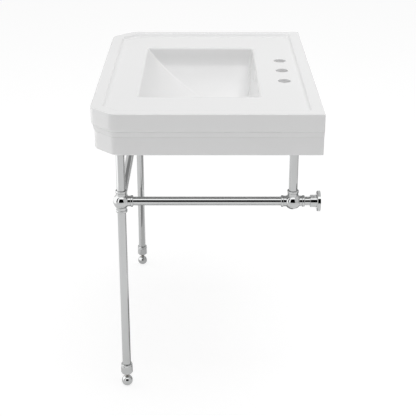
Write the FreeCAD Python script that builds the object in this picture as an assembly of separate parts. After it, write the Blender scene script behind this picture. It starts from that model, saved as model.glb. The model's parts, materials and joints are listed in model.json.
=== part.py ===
import FreeCAD, Part
import math
import os

from FreeCAD import Vector

# Console sink on two front legs, fastened to a wall at its back.
# +X is to the right of somebody standing in front of it, +Y points into the wall, +Z is up.
# The origin lies on the wall plane, midway between the two wall anchor holes of the basin.
# All sizes are in millimetres.

# ---- Basin, outside
WIDTH = 832.0
DEPTH = 591.0
HEIGHT = 813.0            # floor to the top of the rim
APRON_HEIGHT = 112.5      # top of the rim to the basin's lower edge
CORNER_CLIP = 58.0        # length cut off each side of a front corner
CORNER_ROUND = 42.0       # plan radius where the clipped corner meets a side
INNER_ROUND = 4.0         # smallest plan radius of an inner outline
RECESS_ROUND = 12.0       # plan radius of the deck's corners
UPPER_BAND = 48.5         # height of the proud upper band
MIDDLE_BAND = 14.5        # height of the sloped band under it
MIDDLE_INSET_TOP = 4.4
MIDDLE_INSET_BOTTOM = 6.5
LOWER_INSET = 8.3
RIM_EDGE = 3.0            # rounding of the rim's outer edge
BAND_EDGE = 4.0           # rounding under the upper band
APRON_EDGE = 4.5          # rounding of the apron's lower edge

# ---- Basin, deck and walls
RIM_WIDTH = 31.0          # outer face to the start of the rim's inner slope
RIM_SLOPE_RUN = 5.0       # how far the rim's inner side leans out on its way down
DECK_DROP = 8.0           # rim top down to the deck
RIM_INNER_EDGE = 3.0
RIM_COVE = 9.0            # hollow between the deck and the rim
DECK_WALL = 14.0
SIDE_WALL = 14.0
BACK_WALL = 14.0

# ---- Bowl
BOWL_HALF_WIDTH = 244.0   # centre line to the side wall, at deck level
BOWL_FRONT = 114.5        # front of the basin to the top of the front ramp
BOWL_BACK = 155.0         # wall plane to the top of the bowl's back wall
BOWL_LIP = 8.0            # rounding from the deck into the bowl
BOWL_SHELL = 12.0
SIDE_LAND = 4.0           # upright part of the side wall, over its sweep
SIDE_SWEEP_RUN = 140.0    # half axes of the elliptical sweep down to the bottom
SIDE_SWEEP_DROP = 118.0
BOTTOM_SLOPE = 5.0        # slope at the edge of the bottom, in degrees
RAMP_START = 55.8         # slope of the front ramp at the deck, in degrees
RAMP_END = 3.0            # slope at which the ramp's arc would stop, under the bottom
RAMP_RADIUS = 311.0
BACK_DRAFT = 5.5          # lean of the back wall, in degrees
FRONT_CREASE = 3.0        # rounding where the ramp meets the side walls
BACK_CREASE = 12.0        # rounding where the back wall meets the others
CREASE_DIVIDE = 0.6       # part of the depth behind which a crease is the back wall's
OVER = 2.0                # how far a cutting solid runs past a surface
TOUCH = 0.01              # two levels closer than this are one
SLACK = 1.0               # play in a test on where an edge lies

# ---- Drain and overflow
DRAIN_FROM_WALL = 232.0
DRAIN_RADIUS = 22.25
DRAIN_SEAT_RADIUS = 32.0
DRAIN_SEAT_DEPTH = 2.5
DRAIN_BOSS_RADIUS = 41.0
DRAIN_BOSS_HEIGHT = 18.0  # how far the boss stands below the shell
OVERFLOW_RADIUS = 6.0
OVERFLOW_DROP = 29.0      # deck down to the overflow hole
DUCT_WIDTH = 32.0
DUCT_DEPTH = 12.0
DUCT_WALL = 9.0
DUCT_PORT_WIDTH = 20.0
DUCT_PORT_HEIGHT = 9.0

# ---- Faucet holes
FAUCET_RADIUS = 17.5
FAUCET_SPACING = 101.6
FAUCET_FROM_WALL = 80.0
FAUCET_EDGE = 1.2

# ---- Wall anchors of the basin
ANCHOR_DROP = 60.0        # rim top down to the anchor holes
ANCHOR_SPACING = 360.0
ANCHOR_RADIUS = 7.0
ANCHOR_PAD_RADIUS = 20.0
ANCHOR_PAD_HEIGHT = 8.0

# ---- Frame layout
LEG_FROM_SIDE = 45.0      # side of the basin to the axis of its legs
LEG_FROM_FRONT = 74.0
RISER_FROM_WALL = 71.0
FITTING_HEIGHT = 560.5    # floor to the middle of the ball fittings
LEG_BOSS_RADIUS = 26.0
LEG_BOSS_DROP = 53.0      # rim top down to the face that a leg carries
PAD_RECESS = 2.0

# ---- Tubes and ball fittings
TUBE_RADIUS = 11.5
TUBE_WALL = 1.5
FIT = 0.05                # radial clearance of a seated or screwed piece
BALL_RADIUS = 22.0
PORT_REACH = 31.0         # middle of the ball to the end of a collar
SOCKET_START = 14.5       # middle of the ball to the end of the seated tube
NECK_RADIUS = 14.0
BEAD_RADIUS = 15.3
BEAD_LENGTH = 7.5
BEAD_EDGE = 2.0

# ---- Grub screws
FITTING_SCREW_RADIUS = 1.5
WALL_SCREW_RADIUS = 2.5
HEX_SIDES = 6
HEX_SHARE = 0.52          # hexagon corner radius as a part of the screw's radius
HEX_DEPTH = 1.8

# ---- Leg tops
PLUG_LENGTH = 16.0        # spigot inside the tube
PLUG_FLANGE = 5.0
PAD_RADIUS = 13.0
PAD_THICKNESS = 4.0
PAD_PLAY = 0.4            # pad to the side of its recess

# ---- Feet
FOOT_RADIUS = 15.25
FOOT_FLAT_RADIUS = 4.5
FERRULE_RADIUS = 15.7
FERRULE_BOTTOM = 38.0     # floor to the ferrule's lower face
FERRULE_HEIGHT = 31.0
FERRULE_FLOOR = 12.0      # threaded thickness under the tube
FERRULE_CHAMFER = 5.0
FERRULE_LIP = 1.5
STUD_RADIUS = 6.0
STUD_HEAD_ROOM = 25.0     # stud above the ferrule's threaded floor
STUD_SEAT = 14.0          # depth of the stud in the ball

# ---- Wall flanges
FLANGE_RADIUS = 27.0
FLANGE_THICKNESS = 9.5
FLANGE_EDGE = 3.0
SLEEVE_RADIUS = 16.2
SLEEVE_REACH = 26.5       # wall plane to the sleeve's mouth
SLEEVE_EDGE = 1.0
STUB_END_GAP = 5.0        # wall plane to the end of the stub tube
FLANGE_HOLE_RADIUS = 2.75
FLANGE_HOLE_CIRCLE = 21.5
FLANGE_HOLES = 3
FLANGE_SINK_RADIUS = 4.6

# ---- Levels and lines worked out from these sizes
RIM_TOP = ANCHOR_DROP
FLOOR = RIM_TOP - HEIGHT
DECK = RIM_TOP - DECK_DROP
APRON_BOTTOM = RIM_TOP - APRON_HEIGHT
FRONT = -DEPTH
FITTING_Z = FLOOR + FITTING_HEIGHT
LEG_X = WIDTH / 2 - LEG_FROM_SIDE
LEG_Y = FRONT + LEG_FROM_FRONT
RISER_Y = -RISER_FROM_WALL
BOSS_FACE = RIM_TOP - LEG_BOSS_DROP
TUBE_TOP = BOSS_FACE + PAD_RECESS - PAD_THICKNESS - PLUG_FLANGE
SOCKET_RADIUS = TUBE_RADIUS + FIT
TUBE_BORE = TUBE_RADIUS - TUBE_WALL
FERRULE_Z = FLOOR + FERRULE_BOTTOM
LEG_END = FERRULE_Z + FERRULE_FLOOR
FOOT_RISE = math.sqrt(FOOT_RADIUS ** 2 - FOOT_FLAT_RADIUS ** 2)
FOOT_Z = FLOOR + FOOT_RISE
STUB_END = -STUB_END_GAP

X, Y, Z = Vector(1, 0, 0), Vector(0, 1, 0), Vector(0, 0, 1)
SIDES = (("left", -1), ("right", 1))


def save(name, shape):
    """Writes one piece, or one group of like pieces, under its node's name."""
    shape.exportStep(os.path.join("parts", name + ".step"))


def rounded_wire(corners, radii):
    """Closed wire through the corners, each turned by a tangent arc of its own radius."""
    turns = []
    for i, (corner, radius) in enumerate(zip(corners, radii)):
        back = (corners[i - 1] - corner).normalize()
        ahead = (corners[(i + 1) % len(corners)] - corner).normalize()
        half = back.getAngle(ahead) / 2
        middle = (back + ahead).normalize() * (radius / math.sin(half) - radius)
        reach = radius / math.tan(half)
        turns.append((corner + back * reach, corner + middle, corner + ahead * reach, radius))
    edges = []
    for i, (start, middle, end, radius) in enumerate(turns):
        if radius > 0:
            edges.append(Part.Arc(start, middle, end).toShape())
        edges.append(Part.LineSegment(end, turns[(i + 1) % len(turns)][0]).toShape())
    return Part.Wire(edges)


def basin_outline(inset, back_inset, z, smallest=INNER_ROUND):
    """Plan of the basin with its clipped front corners, drawn in by an inset on every side."""
    half = WIDTH / 2 - inset
    front = FRONT + inset
    clip = CORNER_CLIP - inset * (2 - math.sqrt(2))
    round_radius = max(CORNER_ROUND - inset, smallest)
    back_round = smallest if back_inset > 0 else 0.0
    right = [(half, -back_inset), (half, front + clip), (half - clip, front)]
    plan = right + [(-x, y) for x, y in reversed(right)]
    corners = [Vector(x, y, z) for x, y in plan]
    radii = [back_round, round_radius, round_radius, round_radius, round_radius, back_round]
    return rounded_wire(corners, radii)


def slab(inset, back_inset, low, high):
    """Solid between two levels on the basin's plan."""
    return Part.Face(basin_outline(inset, back_inset, low)).extrude(Z * (high - low))


def box(x, y, z):
    """Box from three (low, high) pairs."""
    return Part.makeBox(x[1] - x[0], y[1] - y[0], z[1] - z[0], Vector(x[0], y[0], z[0]))


def rod(radius, start, end):
    """Cylinder between two points."""
    return Part.makeCylinder(radius, (end - start).Length, start, end - start)


def fillet_where(shape, radius, chosen):
    """Rounds the edges that a test picks out."""
    return shape.makeFillet(radius, [edge for edge in shape.Edges if chosen(edge)])


def lies_at(edge, z):
    """True if the whole edge lies at one level."""
    box_of = edge.BoundBox
    return abs(box_of.ZMin - z) < TOUCH and abs(box_of.ZMax - z) < TOUCH


def off_wall(edge):
    """True unless the edge runs along the wall plane."""
    return edge.BoundBox.YMin < -TOUCH


def along_axis(edge):
    """True for a straight edge along X or Y."""
    straight = isinstance(edge.Curve, (Part.Line, Part.LineSegment))
    size = edge.BoundBox
    return straight and size.ZLength < TOUCH and min(size.XLength, size.YLength) < TOUCH


# ---- Basin

def bands():
    """The apron's three bands, the lower ones set back under the upper one."""
    middle_top = RIM_TOP - UPPER_BAND
    lower_top = middle_top - MIDDLE_BAND
    upper = slab(0.0, 0.0, middle_top, RIM_TOP)
    upper = fillet_where(upper, BAND_EDGE, lambda e: lies_at(e, middle_top) and off_wall(e))
    upper = fillet_where(upper, RIM_EDGE, lambda e: lies_at(e, RIM_TOP))
    middle = Part.makeLoft(
        [
            basin_outline(MIDDLE_INSET_BOTTOM, 0.0, lower_top),
            basin_outline(MIDDLE_INSET_TOP, 0.0, middle_top),
        ],
        True,
        True,
    )
    lower = slab(LOWER_INSET, 0.0, APRON_BOTTOM, lower_top)
    lower = fillet_where(lower, APRON_EDGE, lambda e: lies_at(e, APRON_BOTTOM) and off_wall(e))
    return upper.fuse([middle, lower])


def slope_point(centre, radius, slope):
    """Point of an arc in a (run, depth) plane where its tangent dips by a slope in degrees."""
    angle = math.radians(slope)
    return (centre[0] - radius * math.sin(angle), centre[1] + radius * math.cos(angle))


def side_sweep(grow):
    """Start, middle and end of the side wall's sweep, as (distance from the centre line, depth)."""
    run, drop = SIDE_SWEEP_RUN + grow, SIDE_SWEEP_DROP + grow
    centre = BOWL_HALF_WIDTH - SIDE_SWEEP_RUN
    last = math.atan(drop / (run * math.tan(math.radians(BOTTOM_SLOPE))))
    turns = (0.0, last / 2, last)
    return [(centre + run * math.cos(t), SIDE_LAND + drop * math.sin(t)) for t in turns]


def arch_rise():
    """How much the bottom falls from its edge to the centre line."""
    return side_sweep(0.0)[-1][0] * math.tan(math.radians(BOTTOM_SLOPE / 2))


def bowl_bottom():
    """Depth of the bowl on its centre line, below the deck."""
    return side_sweep(0.0)[-1][1] + arch_rise()


def sweep_edge(grow, sign):
    """The elliptical sweep of one side wall, in the XZ plane."""
    centre = Vector(sign * (BOWL_HALF_WIDTH - SIDE_SWEEP_RUN), 0, DECK - SIDE_LAND)
    major = centre + X * (sign * (SIDE_SWEEP_RUN + grow))
    minor = centre - Z * (SIDE_SWEEP_DROP + grow)
    last_x, last_depth = side_sweep(grow)[-1]
    ellipse = Part.Ellipse(major, minor, centre)
    first = ellipse.parameter(major)
    last = ellipse.parameter(Vector(sign * last_x, 0, DECK - last_depth))
    return Part.ArcOfEllipse(ellipse, first, last).toShape()


def across_profile(grow):
    """Section across the bowl, side to side: swept walls and a shallow arched bottom."""
    start, _, end = side_sweep(grow)
    low = Vector(0, 0, DECK - bowl_bottom() - grow)
    ends = [Vector(sign * end[0], 0, DECK - end[1]) for sign in (1, -1)]
    rims = [Vector(sign * start[0], 0, DECK + OVER) for sign in (1, -1)]
    lands = [Vector(sign * start[0], 0, DECK - SIDE_LAND) for sign in (1, -1)]
    return Part.Wire(Part.__sortEdges__([
        Part.LineSegment(rims[0], lands[0]).toShape(),
        sweep_edge(grow, 1),
        Part.Arc(ends[0], low, ends[1]).toShape(),
        sweep_edge(grow, -1),
        Part.LineSegment(lands[1], rims[1]).toShape(),
        Part.LineSegment(rims[1], rims[0]).toShape(),
    ]))


def along_profile(grow):
    """Section from front to back: the long front ramp and the leaning back wall."""
    start = math.radians(RAMP_START)
    centre = (RAMP_RADIUS * math.sin(start), -RAMP_RADIUS * math.cos(start))
    slopes = (RAMP_START, (RAMP_START + RAMP_END) / 2, RAMP_END)
    ramp = [slope_point(centre, RAMP_RADIUS + grow, s) for s in slopes]
    front = FRONT + BOWL_FRONT
    lean = math.tan(math.radians(BACK_DRAFT))
    back = -BOWL_BACK + grow / math.cos(math.radians(BACK_DRAFT))
    depth = ramp[-1][1]

    def point(run, below):
        return Vector(0, front + run, DECK - below)

    brow = point(ramp[0][0] - (ramp[0][1] + OVER) / math.tan(start), -OVER)
    heel = Vector(0, back - lean * depth, DECK - depth)
    head = Vector(0, back + lean * OVER, DECK + OVER)
    return Part.Wire([
        Part.LineSegment(brow, point(*ramp[0])).toShape(),
        Part.Arc(point(*ramp[0]), point(*ramp[1]), point(*ramp[2])).toShape(),
        Part.LineSegment(point(*ramp[2]), heel).toShape(),
        Part.LineSegment(heel, head).toShape(),
        Part.LineSegment(head, brow).toShape(),
    ])


def bowl_solid(grow):
    """The bowl's hollow, or its outside when grown by the shell."""
    across = Part.Face(across_profile(grow))
    across.translate(Y * FRONT)
    along = Part.Face(along_profile(grow))
    along.translate(X * -WIDTH)
    return across.extrude(Y * DEPTH).common(along.extrude(X * 2 * WIDTH))


def bowl_hollow():
    """The hollow with its creases rounded."""
    divide = FRONT + DEPTH * CREASE_DIVIDE

    def crease(edge):
        return not (lies_at(edge, DECK + OVER) or along_axis(edge))

    hollow = fillet_where(
        bowl_solid(0.0), FRONT_CREASE, lambda e: crease(e) and e.CenterOfMass.y < divide
    )
    return fillet_where(
        hollow, BACK_CREASE, lambda e: crease(e) and e.CenterOfMass.y > divide
    )


def overflow_duct():
    """(Outside, hollow) of the passage from the overflow hole down to the drain."""
    shell_back = -BOWL_BACK + BOWL_SHELL / math.cos(math.radians(BACK_DRAFT))
    duct_y = (shell_back, shell_back + DUCT_DEPTH)
    floor = DECK - bowl_bottom() - BOWL_SHELL
    boss_bottom = floor - DRAIN_BOSS_HEIGHT
    port_z = (boss_bottom + DUCT_WALL / 2, boss_bottom + DUCT_WALL / 2 + DUCT_PORT_HEIGHT)
    hole_z = DECK - OVERFLOW_DROP
    half, outer = DUCT_WIDTH / 2, DUCT_WIDTH / 2 + DUCT_WALL
    port_half = DUCT_PORT_WIDTH / 2
    mouth = Vector(0, duct_y[0] + OVER, hole_z)
    inside_bowl = Vector(0, -BOWL_BACK - DUCT_DEPTH * 2, hole_z)
    upright = box((-outer, outer), (-BOWL_BACK, duct_y[1] + DUCT_WALL), (boss_bottom, DECK - DECK_WALL))
    foot_z = (boss_bottom, floor + BOWL_SHELL / 2)
    foot = box((-outer, outer), (-DRAIN_FROM_WALL, -BOWL_BACK), foot_z)
    chimney = box((-half, half), duct_y, (port_z[0], hole_z + DUCT_WIDTH / 2))
    port = box((-port_half, port_half), (-DRAIN_FROM_WALL, duct_y[1]), port_z)
    return upright.fuse(foot), chimney.fuse([port, rod(OVERFLOW_RADIUS, inside_bowl, mouth)])


def leg_places():
    """Axis of each of the four uprights that carry the basin."""
    return [(sign * LEG_X, y) for _, sign in SIDES for y in (LEG_Y, RISER_Y)]


def basin():
    """The china basin as one piece."""
    body = bands()
    pocket = slab(
        LOWER_INSET + SIDE_WALL, BACK_WALL, APRON_BOTTOM - OVER, DECK - DECK_WALL
    )
    foot = RIM_WIDTH + RIM_SLOPE_RUN
    brim = RIM_WIDTH - RIM_SLOPE_RUN * OVER / DECK_DROP
    recess = Part.makeLoft(
        [
            basin_outline(foot, foot, DECK, RECESS_ROUND),
            basin_outline(brim, brim, RIM_TOP + OVER, RECESS_ROUND),
        ],
        True,
        True,
    )
    recess = fillet_where(recess, RIM_COVE, lambda e: lies_at(e, DECK))
    body = body.cut([pocket, recess])
    body = fillet_where(
        body,
        RIM_INNER_EDGE,
        lambda e: lies_at(e, RIM_TOP) and lies_within(e, RIM_WIDTH, RIM_WIDTH, RIM_WIDTH),
    )
    drain_low = DECK - bowl_bottom() - BOWL_SHELL - DRAIN_BOSS_HEIGHT
    drain = Vector(0, -DRAIN_FROM_WALL, drain_low)
    seat = DECK - bowl_bottom() - DRAIN_SEAT_DEPTH
    added = [bowl_solid(BOWL_SHELL).common(slab(RIM_WIDTH, RIM_WIDTH, FLOOR, DECK))]
    added.append(Part.makeCylinder(
        DRAIN_BOSS_RADIUS, DRAIN_BOSS_HEIGHT + BOWL_SHELL, drain
    ))
    for x, y in leg_places():
        added.append(rod(LEG_BOSS_RADIUS, Vector(x, y, BOSS_FACE), Vector(x, y, DECK - OVER)))
    for _, sign in SIDES:
        pad_x = sign * ANCHOR_SPACING / 2
        added.append(rod(
            ANCHOR_PAD_RADIUS,
            Vector(pad_x, -BACK_WALL - ANCHOR_PAD_HEIGHT, 0),
            Vector(pad_x, -BACK_WALL / 2, 0),
        ))
    duct_outside, duct_inside = overflow_duct()
    whole = body.fuse(added + [duct_outside]).cut(bowl_hollow())
    whole = fillet_where(whole, BOWL_LIP, is_bowl_edge)
    cuts = [duct_inside]
    cuts.append(Part.makeCylinder(DRAIN_RADIUS, BOWL_SHELL + APRON_HEIGHT, drain - Z * OVER))
    cuts.append(Part.makeCylinder(
        DRAIN_SEAT_RADIUS, DRAIN_SEAT_DEPTH + OVER, Vector(drain.x, drain.y, seat)
    ))
    for x, y in leg_places():
        cuts.append(Part.makeCylinder(
            PAD_RADIUS + PAD_PLAY, PAD_RECESS + OVER, Vector(x, y, BOSS_FACE - OVER)
        ))
    for _, sign in SIDES:
        pad_x = sign * ANCHOR_SPACING / 2
        cuts.append(rod(
            ANCHOR_RADIUS,
            Vector(pad_x, -BACK_WALL - ANCHOR_PAD_HEIGHT - OVER, 0),
            Vector(pad_x, OVER, 0),
        ))
    for step in (-1, 0, 1):
        centre = Vector(step * FAUCET_SPACING, -FAUCET_FROM_WALL, DECK - DECK_WALL - OVER)
        cuts.append(Part.makeCylinder(FAUCET_RADIUS, DECK_WALL + 2 * OVER, centre))
    whole = whole.cut(cuts)
    return fillet_where(whole, FAUCET_EDGE, is_faucet_edge).removeSplitter()


def lies_within(edge, side, front, back):
    """True if the edge's middle is at least these distances from the basin's sides and the wall."""
    middle = edge.CenterOfMass
    across = abs(middle.x) < WIDTH / 2 - side + SLACK
    return across and FRONT + front - SLACK < middle.y < -back + SLACK


def is_bowl_edge(edge):
    """True for the opening of the bowl in the deck."""
    side = WIDTH / 2 - BOWL_HALF_WIDTH
    return lies_at(edge, DECK) and lies_within(edge, side, BOWL_FRONT, BOWL_BACK)


def is_faucet_edge(edge):
    """True for the upper edge of a faucet hole."""
    return lies_at(edge, DECK) and abs(edge.CenterOfMass.y + FAUCET_FROM_WALL) < TOUCH


# ---- Frame

def tube(start, end):
    """Drawn tube between two points."""
    return rod(TUBE_RADIUS, start, end).cut(rod(TUBE_BORE, start, end))


def ring_edges(shape):
    """The round edges of a turned piece."""
    return [edge for edge in shape.Edges if isinstance(edge.Curve, Part.Circle)]


def grub_screw(radius, length, tip, outward):
    """Headless screw with a hexagon socket; its tip bears on the tube."""
    screw = rod(radius, tip, tip + outward * length)
    face = tip + outward * (length - HEX_DEPTH)
    across = outward.cross(Y if abs(outward.y) < 0.5 else X)
    corners = []
    for i in range(HEX_SIDES + 1):
        turn = FreeCAD.Rotation(outward, 360 * i / HEX_SIDES)
        corners.append(face + turn.multVec(across) * (radius * HEX_SHARE))
    return screw.cut(Part.Face(Part.makePolygon(corners)).extrude(outward * HEX_DEPTH))


def fitting_ports(sign, front):
    """(Direction of the port, side of its collar that hides the screw) for one ball fitting."""
    inward = X * -sign
    if front:
        return [(Z, inward), (Z * -1, inward), (Y, Z * -1), (inward, Z * -1)]
    return [(Z, inward), (Y * -1, Z * -1), (Y, Z * -1)]


def ball_fitting(centre, ports):
    """Cast ball with a beaded collar and a tube socket at each port."""
    shape = Part.makeSphere(BALL_RADIUS, centre)
    bead_start = PORT_REACH - BEAD_LENGTH
    added, cuts = [], []
    for way, hidden in ports:
        added.append(rod(NECK_RADIUS, centre, centre + way * bead_start))
        bead = rod(BEAD_RADIUS, centre + way * bead_start, centre + way * PORT_REACH)
        added.append(bead.makeFillet(BEAD_EDGE, ring_edges(bead)))
        cuts.append(rod(SOCKET_RADIUS, centre + way * SOCKET_START, centre + way * (PORT_REACH + OVER)))
        middle = centre + way * (PORT_REACH - BEAD_LENGTH / 2)
        cuts.append(rod(FITTING_SCREW_RADIUS + FIT, middle, middle + hidden * (BEAD_RADIUS + OVER)))
    return shape.fuse(added).cut(cuts).removeSplitter()


def fitting_screws(centre, ports):
    """One grub screw in each collar, on its hidden side."""
    length = BEAD_RADIUS - SOCKET_RADIUS
    screws = []
    for way, hidden in ports:
        tip = centre + way * (PORT_REACH - BEAD_LENGTH / 2) + hidden * TUBE_RADIUS
        screws.append(grub_screw(FITTING_SCREW_RADIUS, length, tip, hidden))
    return screws


def top_plug(x, y):
    """Plug in the top of an upright: a spigot inside the tube and a flange on its end."""
    top = Vector(x, y, TUBE_TOP)
    spigot = rod(TUBE_BORE - FIT, top - Z * PLUG_LENGTH, top)
    return spigot.fuse(rod(TUBE_RADIUS, top, top + Z * PLUG_FLANGE)).removeSplitter()


def support_pad(x, y):
    """Soft disc between the plug and the basin."""
    base = Vector(x, y, TUBE_TOP + PLUG_FLANGE)
    return rod(PAD_RADIUS, base, base + Z * PAD_THICKNESS)


def ferrule(x, y):
    """Turned end of a leg: a socket for the tube over a threaded floor."""
    base = Vector(x, y, FERRULE_Z)
    shape = rod(FERRULE_RADIUS, base, base + Z * FERRULE_HEIGHT)
    shape = shape.makeChamfer(FERRULE_CHAMFER, [e for e in ring_edges(shape) if lies_at(e, base.z)])
    top = base.z + FERRULE_HEIGHT
    shape = fillet_where(shape, FERRULE_LIP, lambda e: lies_at(e, top))
    socket = rod(SOCKET_RADIUS, Vector(x, y, LEG_END), Vector(x, y, top + OVER))
    thread = rod(STUD_RADIUS + FIT, base - Z * OVER, Vector(x, y, LEG_END))
    return shape.cut([socket, thread])


def foot_stud(x, y):
    """Threaded stud that screws in and out of the ferrule."""
    low = Vector(x, y, FOOT_Z + FOOT_RADIUS - STUD_SEAT)
    return rod(STUD_RADIUS, low, Vector(x, y, LEG_END + STUD_HEAD_ROOM))


def ball_foot(x, y):
    """Ball that stands on the floor, with a small flat under it and a seat for the stud."""
    centre = Vector(x, y, FOOT_Z)
    floor_cut = box(
        (x - FOOT_RADIUS, x + FOOT_RADIUS), (y - FOOT_RADIUS, y + FOOT_RADIUS),
        (FLOOR - FOOT_RADIUS, FLOOR),
    )
    low = centre + Z * (FOOT_RADIUS - STUD_SEAT)
    seat = rod(STUD_RADIUS + FIT, low, centre + Z * (FOOT_RADIUS + OVER))
    return Part.makeSphere(FOOT_RADIUS, centre).cut([floor_cut, seat])


def wall_flange(x):
    """Disc against the wall with a sleeve that slides on the stub tube."""
    wall = Vector(x, 0, FITTING_Z)
    disc = rod(FLANGE_RADIUS, wall - Y * FLANGE_THICKNESS, wall)
    disc = disc.makeFillet(FLANGE_EDGE, [e for e in ring_edges(disc) if off_wall(e)])
    sleeve = rod(SLEEVE_RADIUS, wall - Y * SLEEVE_REACH, wall - Y * FLANGE_EDGE)
    sleeve = sleeve.makeFillet(
        SLEEVE_EDGE, [e for e in ring_edges(sleeve) if e.BoundBox.YMax < -FLANGE_THICKNESS]
    )
    screw_y = flange_screw_y()
    middle = wall + Y * screw_y
    cuts = [rod(SOCKET_RADIUS, wall - Y * (SLEEVE_REACH + OVER), wall + Y * OVER)]
    cuts.append(rod(WALL_SCREW_RADIUS + FIT, middle, middle - Z * (SLEEVE_RADIUS + OVER)))
    for i in range(FLANGE_HOLES):
        spoke = FreeCAD.Rotation(Y, 360 * i / FLANGE_HOLES).multVec(Z) * FLANGE_HOLE_CIRCLE
        face = wall + spoke - Y * FLANGE_THICKNESS
        cuts.append(rod(FLANGE_HOLE_RADIUS, face - Y * OVER, wall + spoke + Y * OVER))
        sink_depth = FLANGE_SINK_RADIUS - FLANGE_HOLE_RADIUS
        cuts.append(Part.makeCone(FLANGE_SINK_RADIUS, FLANGE_HOLE_RADIUS, sink_depth, face, Y))
    return disc.fuse(sleeve).cut(cuts).removeSplitter()


def flange_screw_y():
    """Middle of the free part of the sleeve, where its grub screw sits."""
    return -(SLEEVE_REACH + FLANGE_THICKNESS) / 2


def wall_screw(x):
    """Grub screw under a wall sleeve."""
    tip = Vector(x, flange_screw_y(), FITTING_Z - TUBE_RADIUS - FIT)
    return grub_screw(WALL_SCREW_RADIUS, SLEEVE_RADIUS - SOCKET_RADIUS, tip, Z * -1)


def main():
    os.makedirs("parts", exist_ok=True)
    save("basin", basin())
    screws = []
    for side, sign in SIDES:
        x = sign * LEG_X
        front = Vector(x, LEG_Y, FITTING_Z)
        rear = Vector(x, RISER_Y, FITTING_Z)
        save("upper_leg_" + side, tube(front + Z * SOCKET_START, Vector(x, LEG_Y, TUBE_TOP)))
        save("lower_leg_" + side, tube(Vector(x, LEG_Y, LEG_END), front - Z * SOCKET_START))
        save("side_rail_" + side, tube(front + Y * SOCKET_START, rear - Y * SOCKET_START))
        save("rear_riser_" + side, tube(rear + Z * SOCKET_START, Vector(x, RISER_Y, TUBE_TOP)))
        save("wall_stub_" + side, tube(rear + Y * SOCKET_START, Vector(x, STUB_END, FITTING_Z)))
        for name, centre, is_front in (("front", front, True), ("rear", rear, False)):
            ports = fitting_ports(sign, is_front)
            save(name + "_ball_fitting_" + side, ball_fitting(centre, ports))
            screws += fitting_screws(centre, ports)
            save(name + "_top_plug_" + side, top_plug(centre.x, centre.y))
            save(name + "_support_pad_" + side, support_pad(centre.x, centre.y))
        save("foot_ferrule_" + side, ferrule(x, LEG_Y))
        save("foot_stud_" + side, foot_stud(x, LEG_Y))
        save("ball_foot_" + side, ball_foot(x, LEG_Y))
        save("wall_flange_" + side, wall_flange(x))
        save("wall_set_screw_" + side, wall_screw(x))
    inner = LEG_X - SOCKET_START
    save("towel_bar", tube(Vector(-inner, LEG_Y, FITTING_Z), Vector(inner, LEG_Y, FITTING_Z)))
    save("fitting_set_screws", Part.makeCompound(screws))


main()
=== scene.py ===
"""Console sink on chrome legs: glazed basin, polished frame and a plain studio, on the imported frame."""

import json
import math

import bmesh
import bpy
import numpy as np
from mathutils.geometry import delaunay_2d_cdt
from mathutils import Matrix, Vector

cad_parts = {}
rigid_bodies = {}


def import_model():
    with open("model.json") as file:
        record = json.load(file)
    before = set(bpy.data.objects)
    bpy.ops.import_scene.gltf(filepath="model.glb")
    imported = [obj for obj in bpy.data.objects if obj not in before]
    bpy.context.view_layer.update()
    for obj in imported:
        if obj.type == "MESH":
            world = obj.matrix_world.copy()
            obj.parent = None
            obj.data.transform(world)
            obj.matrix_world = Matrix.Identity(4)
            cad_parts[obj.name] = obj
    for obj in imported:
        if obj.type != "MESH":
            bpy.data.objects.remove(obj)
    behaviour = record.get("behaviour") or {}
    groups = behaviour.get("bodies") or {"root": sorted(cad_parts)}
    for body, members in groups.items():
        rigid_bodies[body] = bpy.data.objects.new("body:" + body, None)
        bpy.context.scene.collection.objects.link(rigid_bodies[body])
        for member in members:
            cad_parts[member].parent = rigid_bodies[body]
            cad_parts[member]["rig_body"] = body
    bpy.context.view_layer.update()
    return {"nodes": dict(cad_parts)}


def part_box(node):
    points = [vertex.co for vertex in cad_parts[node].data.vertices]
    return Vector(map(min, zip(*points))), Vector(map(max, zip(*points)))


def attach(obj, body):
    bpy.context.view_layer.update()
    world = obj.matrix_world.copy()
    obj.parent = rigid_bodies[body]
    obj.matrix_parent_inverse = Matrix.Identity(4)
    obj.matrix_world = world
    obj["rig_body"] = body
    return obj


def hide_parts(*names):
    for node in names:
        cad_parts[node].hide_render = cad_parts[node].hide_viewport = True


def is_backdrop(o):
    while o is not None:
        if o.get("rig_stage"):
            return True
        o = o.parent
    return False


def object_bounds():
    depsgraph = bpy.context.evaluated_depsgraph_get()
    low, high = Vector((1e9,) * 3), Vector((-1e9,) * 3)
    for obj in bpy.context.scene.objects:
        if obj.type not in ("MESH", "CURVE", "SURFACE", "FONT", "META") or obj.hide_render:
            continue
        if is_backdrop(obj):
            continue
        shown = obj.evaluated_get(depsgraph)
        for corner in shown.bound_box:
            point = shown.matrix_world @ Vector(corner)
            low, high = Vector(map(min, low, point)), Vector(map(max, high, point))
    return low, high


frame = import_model()

bl_info = {
    "name": "Console sink",
    "version": (1, 0, 0),
    "blender": (4, 5, 0),
    "location": "View3D > Sidebar > Console sink",
    "description": "Glazed console basin on a chrome tube frame, with a studio to see it in",
    "category": "Add Mesh",
}

MM = 0.001
SIDES = ("left", "right")
AXES = {"x": np.array((1.0, 0, 0)), "y": np.array((0, 1.0, 0)), "z": np.array((0, 0, 1.0))}
RIGHT_ANGLE = math.pi / 2
NEAR = 0.001 * MM  # two places nearer than this are the same
WELD = 0.004 * MM  # vertices nearer than this are made one
SLIVER = 0.002 * MM  # edges shorter than this are taken out
SHARP_ANGLE = math.radians(40)
MIX_A, MIX_B, MIX_RESULT = 6, 7, 2  # colour sockets of a Mix node


def length(name, millimetres, words):
    """A size in a property group, given in millimetres and kept in metres."""
    return bpy.props.FloatProperty(
        name=name, description=words, default=millimetres * MM, unit="LENGTH", precision=5
    )


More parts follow.
